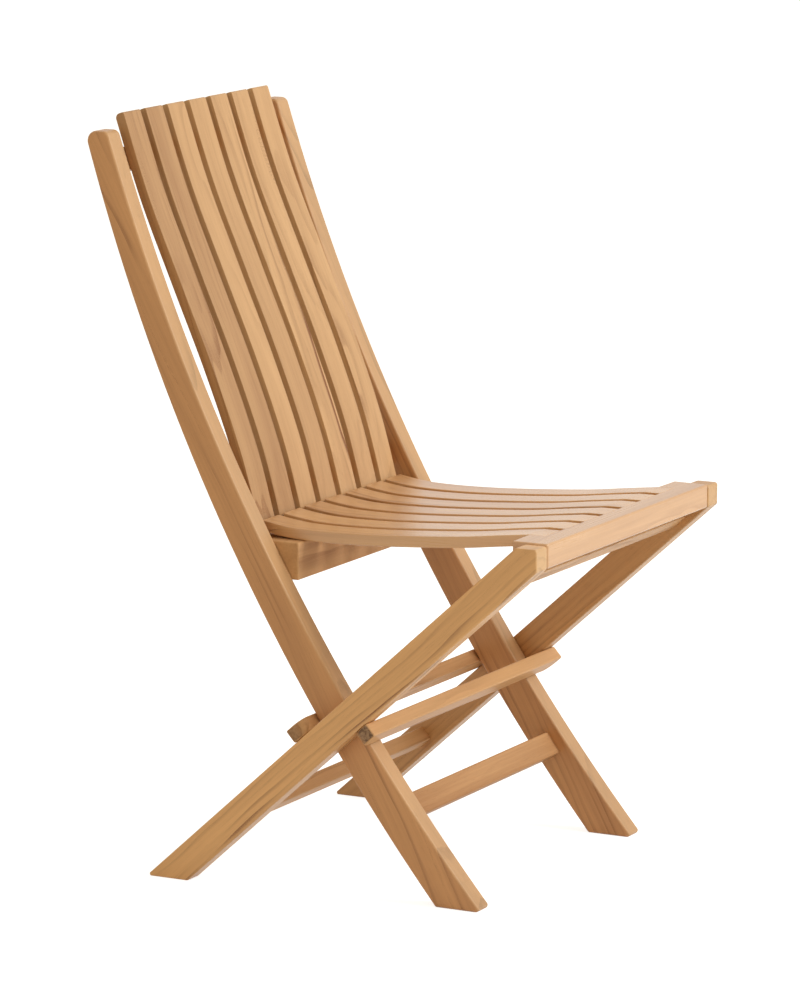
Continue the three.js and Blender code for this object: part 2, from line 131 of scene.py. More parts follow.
# %% Rounded outline
def rounded_outline(corners, radii, steps=5):
    """Outline through corners that run anticlockwise. At each corner the path turns by an angle;
    the arc's centre lies at radius / cos(half the turn) from the corner, on the line that halves
    it, and points lie at centre + radius * facing. A radius of zero keeps the corner itself."""
    corners = np.asarray(corners, float)
    radii = np.broadcast_to(np.asarray(radii, float), len(corners))
    leaving = np.roll(corners, -1, axis=0) - corners
    heading = np.arctan2(leaving[:, 1], leaving[:, 0])
    arriving = np.roll(heading, 1)
    turn = (heading - arriving + np.pi) % (2 * np.pi) - np.pi
    count = np.where(radii > 0, steps + 1, 1)
    owner = np.repeat(np.arange(len(corners)), count)
    first = np.repeat(np.cumsum(count) - count, count)
    share = np.where(count[owner] > 1, (np.arange(len(owner)) - first) / steps, 0.5)
    facing = arriving[owner] - np.pi / 2 + turn[owner] * share
    halfway = arriving - np.pi / 2 + turn / 2
    reach = radii * np.sign(turn)
    centre = corners - (reach / np.cos(turn / 2))[:, None] * np.stack(
        [np.cos(halfway), np.sin(halfway)], axis=1)
    normals = np.stack([np.cos(facing), np.sin(facing)], axis=1)
    return centre[owner] + reach[owner, None] * normals, normals, owner


def sawn_outline(corners, rounds, steps):
    """Rounded outline in which only the corners named in rounds have a radius."""
    radii = np.zeros(len(corners))
    for corner, radius in rounds.items():
        radii[corner] = radius
    return rounded_outline(corners, radii, steps)


def rectangle(reach, half):
    return [(-reach, -half), (reach, -half), (reach, half), (-reach, half)]


# %% [markdown]
# ## A board with eased edges
#
# Sharp edges splinter outdoors, so every long edge of a teak chair is sanded to a small
# quarter round. A Bevel modifier could do it, but here the surface is worked out directly: the
# outline is carried through the thickness, and it steps inwards along a quarter circle near both
# faces. The true facing of every point is stored, so the round edges shade smoothly while the
# faces stay flat. Where a corner is rounded, its radius has to be larger than the ease, or the
# outline would cross itself where it steps inwards.

# %% One eased shell
EASE_STEPS = 5


def eased_shell(outline, low, high, ease, high_ease=None):
    """Surface with two parameters, i along the outline and t, from 0 to a quarter turn, round
    the edge of each face. With e the ease, a point is drawn in by e * (1 - sin t) from the
    outline, at a depth of e * (1 - cos t) under the face, and it faces
    sin t * (the outline's way) + cos t * (the face's way)."""
    points, normals, _ = outline
    rings = []
    for e, face, way in ((ease, low, -1), (ease if high_ease is None else high_ease, high, 1)):
        e = np.broadcast_to(np.asarray(e, float), len(points))
        steps = np.linspace(0, np.pi / 2, EASE_STEPS) if e.max() > 0 else np.array([np.pi / 2])
        t = steps[:, None]
        flat = points - (e * (1 - np.sin(t)))[..., None] * normals
        depth = face - way * e * (1 - np.cos(t))
        sideways = np.sin(t)[..., None] * normals
        outward = np.broadcast_to(way * np.cos(t), depth.shape)[..., None]
        ring = np.stack([np.concatenate([flat, depth[..., None]], axis=2),
                         np.concatenate([sideways, outward], axis=2)])
        rings.append(ring if way < 0 else ring[:, ::-1])
    return np.concatenate(rings, axis=1)


# %% Put a board into Blender
def board_mesh(name, shells, view):
    """Rings of points joined by four-sided faces, closed by a flat face at each end. Points go
    from the view's a, b and c to the chair's frame, and every corner of a face keeps its true
    facing. The places and facings of the points come back beside the mesh."""
    axes = np.array([view["a"], view["b"], view["c"]], float)
    turned = np.linalg.det(axes) < 0
    places, facing, faces, corners, start = [], [], [], [], 0
    for local, local_facing in shells:
        rows, count = local.shape[:2]
        index = np.arange(rows * count).reshape(rows, count) + start
        onward = np.roll(index, -1, axis=1)
        quads = np.stack([index[:-1], onward[:-1], onward[1:], index[1:]], axis=-1).reshape(-1, 4)
        caps = [index[0][::-1], index[-1]]
        if turned:
            quads, caps = quads[:, ::-1], [cap[::-1] for cap in caps]
        outward = local_facing.reshape(-1, 3) @ axes
        faces += [*quads.tolist(), *[cap.tolist() for cap in caps]]
        corners += [outward[quads.ravel() - start],
                    np.tile(-axes[2], (count, 1)), np.tile(axes[2], (count, 1))]
        places.append(np.array(view["origin"]) + local.reshape(-1, 3) @ axes * MM)
        facing.append(outward)
        start += rows * count
    places, facing = np.concatenate(places), np.concatenate(facing)
    mesh = smooth_mesh(name, places, faces)
    mesh.normals_split_custom_set(np.concatenate(corners).tolist())
    return mesh, places, facing


def write_point_data(mesh, name, kind, field, values):
    layer = mesh.attributes.new(name, kind, "POINT")
    layer.data.foreach_set(field, np.asarray(values, np.float32).ravel())


# %% [markdown]
# ## A board remembers its tree
#
# Each board also carries its own measure of the tree it came from: how far along, across and
# through the grain each point lies. The teak material reads that, so rings run out on curved
# cuts and turn into arcs on end grain, as in real timber. Beside it lie the board's tone, how
# strong its figure is, a number of its own for the noise, how much end grain shows, and how much
# painted sheen pales the faces that look forward and up, towards the key lamp.

# %% A board of teak
WOOD = {}
# Painted sheen: faces that look this way, forward and up towards the key lamp, are painted paler.
SHEEN_FACING = np.array([0.94, 0.0, 0.34])
TREE_REACH, SEED_REACH = 4000, 100
rng = np.random.default_rng(20)


def teak_board(name, shells, view, grain, pith, tone, figure, end=0.5, tone_ramp=0.0, painted_sheen=0.0):
    """A board with its grain data. Grain gives the ways along and across, and pith says how many
    millimetres the board's middle lies from the tree's, across and through. The board is paler
    than its tone by half the tone ramp at the far end and deeper by as much at its start; on the
    seat this is painted sheen at the front and painted shade at the rear. End above one means
    that the end grain has gone grey, and painted sheen pales the faces that look forward and up."""
    mesh, places, facing = board_mesh(name, shells, view)
    along, across = [np.array(v, float) / np.linalg.norm(v) for v in grain]
    tree = np.stack([along, across, np.cross(along, across)], axis=1)
    middle = (places.min(axis=0) + places.max(axis=0)) / 2
    cut_from = np.array([rng.uniform(-TREE_REACH, TREE_REACH), *pith])
    write_point_data(mesh, "grain", "FLOAT_VECTOR", "vector",
                     (places - middle) @ tree / MM + cut_from)
    endwise = (facing @ along) ** 2
    marked = figure * (1 - endwise * (end < 1))
    reach = places @ along
    # Tone ramp along the grain, paler at the far end: on the seat it is painted sheen at the front
    # and painted shade at the rear.
    shade = tone + tone_ramp * ((reach - reach.min()) / np.ptp(reach) - 0.5)
    seed = np.full(len(places), rng.uniform(0, SEED_REACH))
    write_point_data(mesh, "board", "FLOAT_VECTOR", "vector",
                     np.stack([shade, marked, seed], axis=1))
    write_point_data(mesh, "end_grain", "FLOAT", "value", end * endwise)
    # Painted sheen: how far each face looks forward and up, towards the key lamp, scaled per
    # board.
    write_point_data(mesh, "painted_sheen_share", "FLOAT", "value", painted_sheen * np.clip(facing @ SHEEN_FACING, 0, 1))
    return into_scene(name, mesh)


def place(piece, body, slot, *nodes):
    """A finished board rides on its body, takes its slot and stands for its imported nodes."""
    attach(piece, body)
    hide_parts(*nodes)
    WOOD[piece.name] = slot


# %% [markdown]
# ## Two bowed posts
#
# Each post is one plank sawn to a slow curve that bows to the rear. Its two edges are arcs of
# circles, wider apart at the foot than at the top. The foot is cut level with the floor and
# the top is rounded over, more at the rear than at the front.

# %% Post edges
POST_HEIGHT, POST_BOW, POST_EASE = 880, 51.5, 3.2
POST_RUN = (-479.4, 0, POST_HEIGHT)
FOOT_ROUND, FRONT_ROUND, REAR_ROUND = 4, 9, 12


def bowed_edge(foot, top, count=36):
    """Arc through foot and top whose middle stands off the chord by the bow. Its radius is
    (h * h + bow * bow) / (2 * bow), with h half the chord, and points step evenly in angle."""
    foot, top = np.array(foot, float), np.array(top, float)
    chord = top - foot
    half = np.linalg.norm(chord) / 2
    aside = np.array([-chord[1], chord[0]]) / (2 * half)
    radius = (half ** 2 + POST_BOW ** 2) / (2 * POST_BOW)
    angle = np.linspace(-1, 1, count) * np.arcsin(half / radius)
    centre = (foot + top) / 2 + aside * (POST_BOW - radius)
    ahead = chord / (2 * half)
    return centre + radius * (np.cos(angle)[:, None] * aside + np.sin(angle)[:, None] * ahead)


rear_edge = bowed_edge((-144, 0), (-609, POST_HEIGHT))
front_edge = bowed_edge((-83.3, 0), (-577, POST_HEIGHT))
top = len(front_edge) - 1
post_rounds = {0: FOOT_ROUND, top: FRONT_ROUND, top + 1: REAR_ROUND, -1: FOOT_ROUND}
post_outline = sawn_outline(np.concatenate([front_edge, rear_edge[::-1]]), post_rounds, 8)
# Each post gets a painted sheen on the faces that look forward and up, and is paler at the top
# than at the foot.
for side, low, high, pith, figure in (("right", -POST_OUTER, -POST_INNER, (18, 120), 0.75),
                                      ("left", POST_INNER, POST_OUTER, (-30, 90), 0.55)):
    post = teak_board(f"teak_post_{side}", [eased_shell(post_outline, low, high, POST_EASE)],
                      SIDE_VIEW, (POST_RUN, ACROSS), pith, tone=-0.08, figure=figure, end=0.3,
                      tone_ramp=0.14, painted_sheen=0.4)
    place(post, "back_frame", "post_teak", f"{side}_post")
print("posts:", len(post_outline[0]), "points round the outline")

# %% [markdown]
# ## Two straight legs
#
# The legs are plain straight boards. They are easiest to draw along themselves, from the pin
# where they cross the posts: the foot is cut level with the floor, and the top is cut level and
# then upright, so that it lines up with the front of the seat.

# %% Legs
CROSSING = np.array([-267.51, 198.0])
LEG_LEAN, LEG_WIDTH, LEG_EASE = 42.0, 37.4, 2.0

leg_corners = [
    (-316.67, LEG_WIDTH / 2),   # heel, on the floor
    (-275.13, -LEG_WIDTH / 2),  # toe, on the floor
    (343.14, -LEG_WIDTH / 2),   # where the upright cut starts
    (360.73, 0.834),            # where it meets the level cut
    (340.89, LEG_WIDTH / 2),    # where the level cut ends
]
leg_outline = rounded_outline(leg_corners, [2.5, 3.5, 4, 3.5, 4], steps=8)
# The legs also get a painted sheen on the faces that look forward and up.
view = leaning_view(CROSSING, LEG_LEAN)
# The left leg is painted deeper than the right, as painted shade: the face of it that the camera
# sees lies inside the chair, in its shade.
for side, low, high, pith, tone in (("right", -LEG_OUTER, -LEG_INNER, (12, 74), 0.11),
                                    ("left", LEG_INNER, LEG_OUTER, (34, -80), -0.18)):
    leg = teak_board(f"teak_leg_{side}", [eased_shell(leg_outline, low, high, LEG_EASE)],
                     view, (view["a"], ACROSS), pith, tone=tone, figure=1.0, end=0.35, painted_sheen=0.4)
    place(leg, "leg_frame", "leg_teak", f"{side}_leg")
print("legs:", len(leg_outline[0]), "points round the outline")

# %% [markdown]
# ## Rails across the chair
#
# Rails with tenons join the posts and the legs in pairs. Their ends are hidden in mortises, so
# each runs two millimetres into the wood at both ends. Only the thick rail under the seat stops
# a hair short of the posts. The two rails beside the crossing lie across the legs from outside
# to outside, and their ends are quarter rounds, where grey and darker end grain shows.

# %% Rails between posts and legs
TENON, HAIR = 2.0, 0.05
RAIL_EASE, RAIL_ROUND, RAIL_PITH = 2.0, 2.4, (30, 70)
TOP_RAIL = {"width": 28, "thickness": 22, "degrees": 108.8}
BOTTOM_RAIL = {"width": 30, "thickness": 18, "degrees": 105.05}


def rail(name, node, body, reach, width, thickness, degrees, tone, figure=0.6):
    """A straight rail: a rectangle as long as the space it fills and as wide as its face, made
    as thick as its other side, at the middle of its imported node."""
    view = cross_view(middle_of(node), degrees)
    outline = rounded_outline(rectangle(reach, width / 2), RAIL_ROUND)
    shell = eased_shell(outline, -thickness / 2, thickness / 2, RAIL_EASE)
    piece = teak_board(name, [shell], view, (ACROSS, view["b"]), RAIL_PITH, tone, figure)
    place(piece, body, "rail_teak", node)


between_posts, between_legs = POST_INNER + TENON, LEG_INNER + TENON
rail("teak_top_back_rail", "top_back_rail", "back_frame", between_posts, **TOP_RAIL, tone=-0.2)
rail("teak_bottom_back_rail", "bottom_back_rail", "back_frame", between_posts, **BOTTOM_RAIL,
     tone=-0.2)
rail("teak_post_stretcher", "post_stretcher", "back_frame", between_posts, 30, 15, 125.88,
     tone=-0.3)
rail("teak_leg_stretcher", "leg_stretcher", "leg_frame", between_legs, 20, 19, LEG_LEAN, tone=0.05)
rail("teak_leg_top_rail", "leg_top_rail", "leg_frame", between_legs, 23, 18, LEG_LEAN, tone=0.05)
rail("teak_support_rail", "seat_support_rail", "back_frame", POST_INNER - HAIR, 44.7, 46, 90,
     tone=-0.01, figure=0.4)

# %% Rails across the crossing
QUARTER, ARRIS = 18, 3
CROSSING_THICKNESS, CROSSING_EASE = 17.5, 2.2
for node, width, ends, end in (
        ("crossing_rail_rear", 27, [ARRIS, QUARTER, QUARTER, ARRIS], 1.5),
        ("crossing_rail_front", 26, [QUARTER, ARRIS, ARRIS, QUARTER], 2.2)):
    view = leaning_view(middle_of(node), LEG_LEAN)
    view["b"], view["c"] = view["c"], view["b"]
    outline = rounded_outline(rectangle(width / 2, LEG_OUTER), ends, steps=8)
    shell = eased_shell(outline, -CROSSING_THICKNESS / 2, CROSSING_THICKNESS / 2, CROSSING_EASE)
    piece = teak_board(f"teak_{node}", [shell], view, (ACROSS, view["a"]), (20, 12), tone=0.0,
                       figure=0.7, end=end)
    place(piece, "leg_frame", "rail_teak", node)
print("rails:", sum("rail" in name or "stretcher" in name for name in WOOD))

# %% [markdown]
# ## Slats of the back and the seat
#
# Seven slats make the back and seven the seat, all thirty-nine millimetres wide with twelve
# between them. Both sets are sawn to a gentle curve. A smooth curve through a few measured
# points gives the face, and the other side lies one thickness behind it.

# %% Smooth curve through points
def smooth_curve(knots, count):
    """Curve that passes through each knot with a slope of half the step between its neighbours.
    Between two knots it is a cubic in the share t of the way."""
    t = np.linspace(0, 1, count) * (len(knots) - 1)
    left = np.minimum(t.astype(int), len(knots) - 2)
    t = (t - left)[:, None]
    p0, p1 = knots[np.maximum(left - 1, 0)], knots[left]
    p2, p3 = knots[left + 1], knots[np.minimum(left + 2, len(knots) - 1)]
    v0, v1 = (p2 - p0) / 2, (p3 - p1) / 2
    return ((2 * p1 - 2 * p2 + v0 + v1) * t ** 3 + (3 * p2 - 3 * p1 - 2 * v0 - v1) * t ** 2
            + v0 * t + p1)


def beside(curve, distance):
    """Points at a distance from a curve, to the left of its direction."""
    slope = np.gradient(curve, axis=0)
    slope /= np.linalg.norm(slope, axis=1, keepdims=True)
    return curve + distance * np.stack([-slope[:, 1], slope[:, 0]], axis=1)


# %% Seven slats side by side
SLAT_WIDTH, SLAT_GAP, SLAT_COUNT = 39.0, 12.0, 7
slat_middles = (np.arange(SLAT_COUNT) - (SLAT_COUNT - 1) / 2) * (SLAT_WIDTH + SLAT_GAP)


def slats(kind, body, slot, outline, ease, along, deepest, tones, figures, tone_ramp=0.0):
    """Seven boards with one outline, each cut from its own place in a tree: up to sixty
    millimetres aside from the pith and between forty and the deepest in front or behind it."""
    for i, middle in enumerate(slat_middles):
        shell = eased_shell(outline, middle - SLAT_WIDTH / 2, middle + SLAT_WIDTH / 2, ease)
        pith = rng.uniform(-60, 60), rng.choice([-1, 1]) * rng.uniform(40, deepest)
        slat = teak_board(f"teak_{kind}_slat_{i + 1}", [shell], SIDE_VIEW, (along, ACROSS), pith,
                          tone=tones[i], figure=figures[i], tone_ramp=tone_ramp)
        place(slat, body, slot, f"{kind}_slat_{i + 1}")
    print(kind, "slats:", len(outline[0]), "points round the outline")


# %% Back slats
BACK_FOOT, BACK_TOP = np.array([-394.29, 400.0]), np.array([-580.5, 899.0])
BACK_RUN, BACK_THICKNESS, BACK_EASE = (-186.2, 0, 499), 13.0, 1.1
back_shares = np.stack([[0, 0.148, 0.352, 0.585, 0.816, 1],
                        [0, 0.2, 0.401, 0.601, 0.802, 1]], axis=1)
back_face = smooth_curve(BACK_FOOT + (BACK_TOP - BACK_FOOT) * back_shares, 56)
back_rear = beside(back_face, BACK_THICKNESS)
top = len(back_face) - 1
back_outline = sawn_outline(np.concatenate([back_face, back_rear[::-1]]),
                            {0: 2.4, top: 2.8, top + 1: 6, -1: 2.4}, 6)
slats("back", "back_frame", "slat_teak", back_outline, BACK_EASE, BACK_RUN, 130,
      tones=[-0.18, -0.20, 0.02, -0.03, 0.05, 0.02, 0.06],
      figures=[0.8, 0.3, 0.25, 0.4, 1.6, 1.3, 0.6])

# %% [markdown]
# The seat slats dip in the middle, and their rear end is cut back underneath so that it clears
# the back when the chair folds. Their front end lies flush in the step of the front rail, so
# it hardly has any ease there. The seat is painted paler towards its front, as painted sheen,
# and deeper at its rear, as painted shade next to the back.

# %% Seat slats
SEAT_HEIGHT, SEAT_DIP, SEAT_REAR, SEAT_THICKNESS = 441.8, 20.0, -396.36, 13.5
RAIL_DEPTH, REBATE = 45.0, 20.0
CURVE_GAP, UNDERCUT = 0.3, 4.0
GLUED_EASE, REAR_EASE, SEAT_EASE = 0.25, 0.8, 1.3

run = (-RAIL_DEPTH - CURVE_GAP - SEAT_REAR) * np.array([0, 0.147, 0.392, 0.71, 0.893, 1])
dip = SEAT_DIP * np.array([0.7, 1, 0.96, 0.585, 0.215, 0])
seat_face = smooth_curve(np.stack([SEAT_REAR + run, SEAT_HEIGHT - dip], axis=1), 48)
seat_under = beside(seat_face, -SEAT_THICKNESS)
seat_under[0, 0] += UNDERCUT
tip = REBATE - RAIL_DEPTH - HAIR
corners = np.concatenate([seat_under, [(tip, SEAT_HEIGHT - SEAT_THICKNESS), (tip, SEAT_HEIGHT)],
                          seat_face[::-1]])
low_tip, high_tip, rear_top = len(seat_under), len(seat_under) + 1, len(corners) - 1
seat_outline = sawn_outline(corners, {0: 2.0, low_tip: 0.4, high_tip: 0.4, rear_top: 1.0}, 6)
owner = seat_outline[2]
seat_ease = np.select([(owner == low_tip) | (owner == high_tip), owner == rear_top],
                      [GLUED_EASE, REAR_EASE], SEAT_EASE)
# The seat's tone ramp is painted light: painted sheen on the front and painted shade at the rear,
# next to the back.
slats("seat", "seat", "seat_teak", seat_outline, seat_ease, (1, 0, 0.05), 110,
      tones=[0.02, 0.05, 0.0, 0.04, 0.01, 0.06, 0.02], figures=[0.4] * SLAT_COUNT, tone_ramp=0.3)

# %% [markdown]
# ## The seat's front rail
#
# The front rail is one thick piece. A wide step is cut in its rear upper edge, and the slats are
# glued into it and sanded flush, so seen from above the slots seem to stop short of the edge.
# It is made as two layers with the same front and ends: the full lower layer, and the upper
# layer with the step cut away.

# %% Front rail
RAIL_FLOOR, LEDGE = 413.0, SEAT_HEIGHT - SEAT_THICKNESS - HAIR
LEG_PLAY, STEP_PLAY = 1.0, 0.15
half, notch = LEG_INNER - LEG_PLAY, slat_middles[-1] + SLAT_WIDTH / 2 + STEP_PLAY
block = [(-RAIL_DEPTH, -half), (0, -half), (0, half), (-RAIL_DEPTH, half)]
step = [(-RAIL_DEPTH, notch), (REBATE - RAIL_DEPTH, notch),
        (REBATE - RAIL_DEPTH, -notch), (-RAIL_DEPTH, -notch)]
block_rounds, block_eases = [2, 3, 3, 2], [1.8, 2.7, 2.7, 1.8]
step_rounds, step_eases = [0.8, 0.4, 0.4, 0.8], [0.6, 0.3, 0.3, 0.6]
lower = rounded_outline(block, block_rounds)
upper = rounded_outline(block + step, block_rounds + step_rounds)
under_ease = np.array(block_eases)[lower[2]]
upper_ease = np.array(block_eases + step_eases)[upper[2]]
layers = [eased_shell(lower, RAIL_FLOOR, LEDGE, under_ease, 0.0),
          eased_shell(upper, LEDGE, SEAT_HEIGHT, 0.0, upper_ease)]
front_rail = teak_board("teak_front_rail", layers, PLAN, (ACROSS, (1, 0, 0)), (60, 80),
                        tone=-0.05, figure=0.25, end=0.1)
place(front_rail, "seat", "seat_teak", "seat_front_rail")
print("front rail:", len(front_rail.data.vertices), "points in two layers")

# %% [markdown]
# ## Screws, pins and washers
#
# Countersunk wood screws hold the slats from behind, and their heads show on the rear of the
# back rails and under the front rail. A head is a low dome with a cross cut into it, and a
# cone that goes down into the wood. One surface with two parameters, distance from the middle
# and angle, makes a head, and it is copied to seven places by adding seven offsets.

# %% Screw heads
METAL = []
HEAD_RADIUS, HEAD_RINGS, HEAD_TURNS, PIN_HOLE = 3.6, 18, 48, 0.02
PROUD, DOME = 0.25, 0.35
CROSS_DEPTH, CROSS_WIDTH, CROSS_REACH = 1.1, 0.42, 2.1
CONE = ((1.0, -0.3), (0.5, -2.4), (PIN_HOLE, -3.4))


def screw_heads(name, body, at, way, nodes):
    """Height over the head: dome * (1 - (r / R) squared), less up to the cross's depth where the
    point lies in the cross, whose sides rise evenly from two thirds of its width and reach."""
    r = np.linspace(PIN_HOLE, 1, HEAD_RINGS)[:, None] * HEAD_RADIUS
    angle = np.linspace(0, 2 * np.pi, HEAD_TURNS, endpoint=False)[None]
    x, y = r * np.cos(angle), r * np.sin(angle)
    arm = np.minimum(np.abs(x), np.abs(y)) / CROSS_WIDTH
    reach = np.maximum(np.abs(x), np.abs(y)) / CROSS_REACH
    inside = np.clip(3 - 3 * np.maximum(arm, reach), 0, 1)
    head = PROUD + DOME * (1 - (r / HEAD_RADIUS) ** 2) - CROSS_DEPTH * inside
    cone_share, cone_height = np.array(CONE).T[..., None]
    cone_r = cone_share * HEAD_RADIUS
    cone = np.stack([cone_r * np.cos(angle), cone_r * np.sin(angle), cone_height + 0 * angle],
                    axis=-1)
    grid = np.concatenate([np.stack([x, y, head], axis=-1), cone])
    index = np.arange(len(grid) * HEAD_TURNS).reshape(-1, HEAD_TURNS)
    onward = np.roll(index, -1, axis=1)
    quads = np.stack([index[:-1], index[1:], onward[1:], onward[:-1]], axis=-1).reshape(-1, 4)
    out = np.array([way[0], 0, way[1]], float)
    axes = np.stack([np.cross(ACROSS, out), ACROSS, out])
    heads = np.array([FRONT_EDGE + at[0] * MM, 0, at[1] * MM]) + grid.reshape(-1, 3) @ axes * MM
    shift = np.zeros((SLAT_COUNT, 1, 3))
    shift[:, 0, 1] = slat_middles * MM
    places = (heads[None] + shift).reshape(-1, 3)
    onto = (np.arange(SLAT_COUNT) * index.size)[:, None, None]
    faces = (quads[None] + onto).reshape(-1, 4).tolist()
    ends = np.concatenate([index[:1], index[-1:, ::-1]])
    faces += (ends[None] + onto).reshape(-1, HEAD_TURNS).tolist()
    piece = into_scene(name, smooth_mesh(name, places, faces))
    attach(piece, body)
    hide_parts(*nodes)
    METAL.append(piece)


for row, board in (("top", TOP_RAIL), ("bottom", BOTTOM_RAIL)):
    turn = np.radians(board["degrees"])
    rear = np.array([-np.sin(turn), np.cos(turn)])
    at = middle_of(f"{row}_back_rail") + rear * board["thickness"] / 2
    screw_heads(f"steel_{row}_screws", "back_frame", at, rear,
                [f"{row}_screw_{i + 1}" for i in range(SLAT_COUNT)])
screw_heads("steel_seat_screws", "seat", (REBATE / 2 - RAIL_DEPTH, RAIL_FLOOR), (0, -1),
            [f"seat_screw_{i + 1}" for i in range(SLAT_COUNT)])
METAL += [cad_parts[node] for node in (
    "crossing_pin_right", "crossing_pin_left", "crossing_washer_right", "crossing_washer_left",
    "seat_pin_right", "seat_pin_left", "seat_tie_rod")]
print("metal pieces:", len(METAL))

# %% [markdown]
# ## Teak
#
# Teak grows in rings: a broad warm layer each year, closed by a thin darker line. A board is a
# slice of that, so the pattern is worked out in the tree's own measure. The distance from the
# pith gives the rings, slow noise bends them, long stretched noise makes fibres, and fine
# short dashes are the pores. End grain drinks more oil and looks darker, and where it has gone
# grey it shows dark and light marks. Faces that look forward and up get a painted sheen, a pale
# colour mixed in as if the key lamp lit them more. One node group holds all of this, and each
# material places it with its own colours.

# %% Node helpers
def add(tree, kind, operation=None, data_type=None, **inputs):
    """Make a node and fill its inputs, each with a value or a link from another node. An input
    is given by its name, or by the letter i and its number."""
    node = tree.nodes.new(kind)
    if operation:
        node.operation = operation
    if data_type:
        node.data_type = data_type
    for key, value in inputs.items():
        numbered = key[0] == "i" and key[1:].isdigit()
        slot = node.inputs[int(key[1:]) if numbered else key]
        if isinstance(value, bpy.types.NodeSocket):
            tree.links.new(value, slot)
        else:
            slot.default_value = value
    return node


def maths(tree, operation, *values, clamp=False):
    node = add(tree, "ShaderNodeMath", operation, **{f"i{n}": v for n, v in enumerate(values)})
    node.use_clamp = clamp
    return node.outputs[0]


def product(tree, first, *others):
    for value in others:
        first = maths(tree, "MULTIPLY", first, value)
    return first


def smooth_step(tree, value, low, high):
    node = add(tree, "ShaderNodeMapRange", Value=value)
    node.interpolation_type = "SMOOTHSTEP"
    node.inputs["From Min"].default_value, node.inputs["From Max"].default_value = low, high
    return node.outputs["Result"]


def colour_mix(tree, share, first, second):
    """Mix two colours. A Mix node keeps them in its inputs 6 and 7, and the result in output 2."""
    mix = add(tree, "ShaderNodeMix", data_type="RGBA", Factor=share, i6=first, i7=second)
    return mix.outputs[2]


# %% Teak grain group
RING_BEND, RING_WOBBLE = 38.0, 3.0
OLD_MARK, NEW_MARK = (0.10, 0.06, 0.04, 1.0), (0.36, 0.235, 0.15, 1.0)
# Pale colour of the painted sheen on faces that look forward and up.
SHEEN_COLOUR = (0.59, 0.435, 0.245, 1.0)


